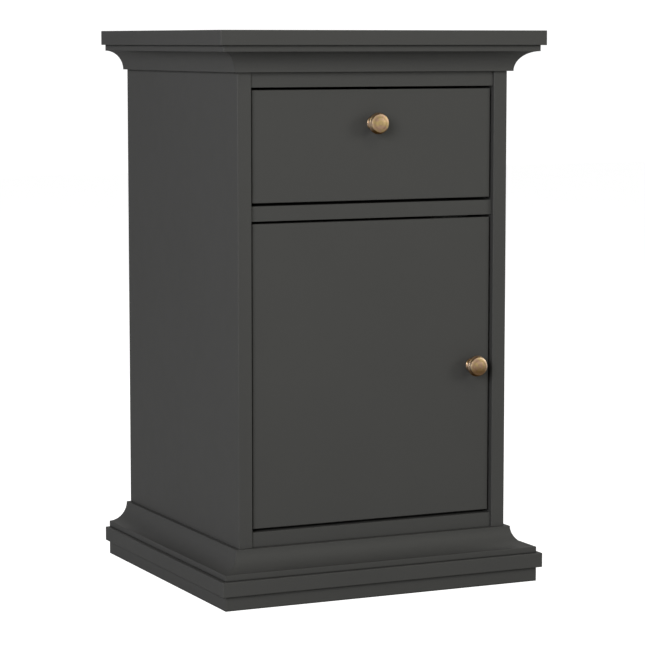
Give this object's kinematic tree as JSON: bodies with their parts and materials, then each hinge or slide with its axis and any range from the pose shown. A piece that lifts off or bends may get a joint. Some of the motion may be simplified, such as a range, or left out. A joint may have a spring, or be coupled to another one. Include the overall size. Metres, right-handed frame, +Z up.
{
  "type": "bedside pot cupboard",
  "caption": "Bedside pot cupboard: inset drawer on roller runners over an inset hinged door, between a moulded plinth and a moulded cornice, with turned knobs.",
  "frame": {"origin": "on the floor, under the centre of the top (centre of the bounding box's lower face)", "axes": "+Z up; the front with the drawer and the door faces -Y; +X is to the right as seen from the front"},
  "size_m": [0.411, 0.378, 0.65],
  "materials": {
    "lacquered_board": "matt anthracite lacquer on smooth board",
    "hardboard": "thin sheet, matt anthracite",
    "aged_brass": "turned, aged, satin",
    "beech": "bare, fluted dowel wood",
    "nickel_steel": "nickel-plated pressing",
    "zinc_steel": "zinc-plated",
    "runner_enamel": "white epoxy on folded steel",
    "nylon": "natural nylon",
    "black_plastic": "moulded, fine grain",
    "magnet": "magnet between steel poles"
  },
  "bodies": {
    "carcass": {"top_panel": "lacquered_board", "cornice_front": "lacquered_board", "cornice_left": "lacquered_board", "cornice_right": "lacquered_board", "cornice_back_rail": "lacquered_board", "side_left": "lacquered_board", "side_right": "lacquered_board", "carcass_top": "lacquered_board", "divider": "lacquered_board", "carcass_bottom": "lacquered_board", "back_panel": "hardboard", "base_moulding_front": "lacquered_board", "base_moulding_left": "lacquered_board", "base_moulding_right": "lacquered_board", "base_back_rail": "lacquered_board", "base_board": "lacquered_board", "plinth_front": "lacquered_board", "plinth_left": "lacquered_board", "plinth_right": "lacquered_board", "plinth_back": "lacquered_board", "shelf": "lacquered_board", "shelf_pins": "nickel_steel", "cam_locks": "zinc_steel", "cam_bolts": "zinc_steel", "carcass_dowels": "beech", "long_screws": "zinc_steel", "cabinet_runner_left": "runner_enamel", "cabinet_runner_right": "runner_enamel", "cabinet_runner_screws": "zinc_steel", "hinge_arm_upper": "nickel_steel", "hinge_arm_lower": "nickel_steel", "hinge_plate_upper": "nickel_steel", "hinge_plate_lower": "nickel_steel", "hinge_plate_screws": "zinc_steel", "catch_housing": "black_plastic", "catch_magnet": "magnet", "catch_screws": "zinc_steel"},
    "drawer": {"drawer_front": "lacquered_board", "drawer_side_left": "lacquered_board", "drawer_side_right": "lacquered_board", "drawer_back": "lacquered_board", "drawer_bottom": "hardboard", "drawer_knob": "aged_brass", "drawer_knob_screw": "zinc_steel", "drawer_dowels": "beech", "drawer_screws": "zinc_steel", "drawer_runner_left": "runner_enamel", "drawer_runner_right": "runner_enamel"},
    "door": {"door_panel": "lacquered_board", "door_knob": "aged_brass", "door_knob_screw": "zinc_steel", "hinge_cup_upper": "nickel_steel", "hinge_cup_lower": "nickel_steel", "hinge_cup_screws": "zinc_steel", "strike_plate": "zinc_steel", "strike_screws": "zinc_steel"},
    "cabinet_roller_left": {"cabinet_roller_left": "nylon"},
    "cabinet_roller_right": {"cabinet_roller_right": "nylon"},
    "drawer_roller_left": {"drawer_roller_left": "nylon"},
    "drawer_roller_right": {"drawer_roller_right": "nylon"}
  },
  "joints": [
    {"name": "drawer_slide", "type": "slide", "parent": "carcass", "child": "drawer", "axis": [0, -1, 0], "range_m": [0, 0.22]},
    {"name": "door_hinge", "type": "hinge", "parent": "carcass", "child": "door", "pos_m": [-0.13209, -0.1405, 0.2585], "axis": [0, 0, -1], "range_deg": [0, 95]},
    {"name": "cabinet_roller_left_spin", "type": "hinge", "parent": "carcass", "child": "cabinet_roller_left", "pos_m": [-0.1497, -0.118, 0.4768], "axis": [1, 0, 0], "continuous": true},
    {"name": "drawer_roller_left_spin", "type": "hinge", "parent": "drawer", "child": "drawer_roller_left", "pos_m": [-0.1468, 0.154, 0.4768], "axis": [1, 0, 0], "continuous": true},
    {"name": "cabinet_roller_right_spin", "type": "hinge", "parent": "carcass", "child": "cabinet_roller_right", "pos_m": [0.1497, -0.118, 0.4768], "axis": [1, 0, 0], "continuous": true},
    {"name": "drawer_roller_right_spin", "type": "hinge", "parent": "drawer", "child": "drawer_roller_right", "pos_m": [0.1468, 0.154, 0.4768], "axis": [1, 0, 0], "continuous": true}
  ],
  "couplings": [
    {"joint": "cabinet_roller_left_spin", "follows": "drawer_slide", "rad_per_m": 95.238},
    {"joint": "drawer_roller_left_spin", "follows": "drawer_slide", "rad_per_m": 95.238},
    {"joint": "cabinet_roller_right_spin", "follows": "drawer_slide", "rad_per_m": 95.238},
    {"joint": "drawer_roller_right_spin", "follows": "drawer_slide", "rad_per_m": 95.238}
  ]
}
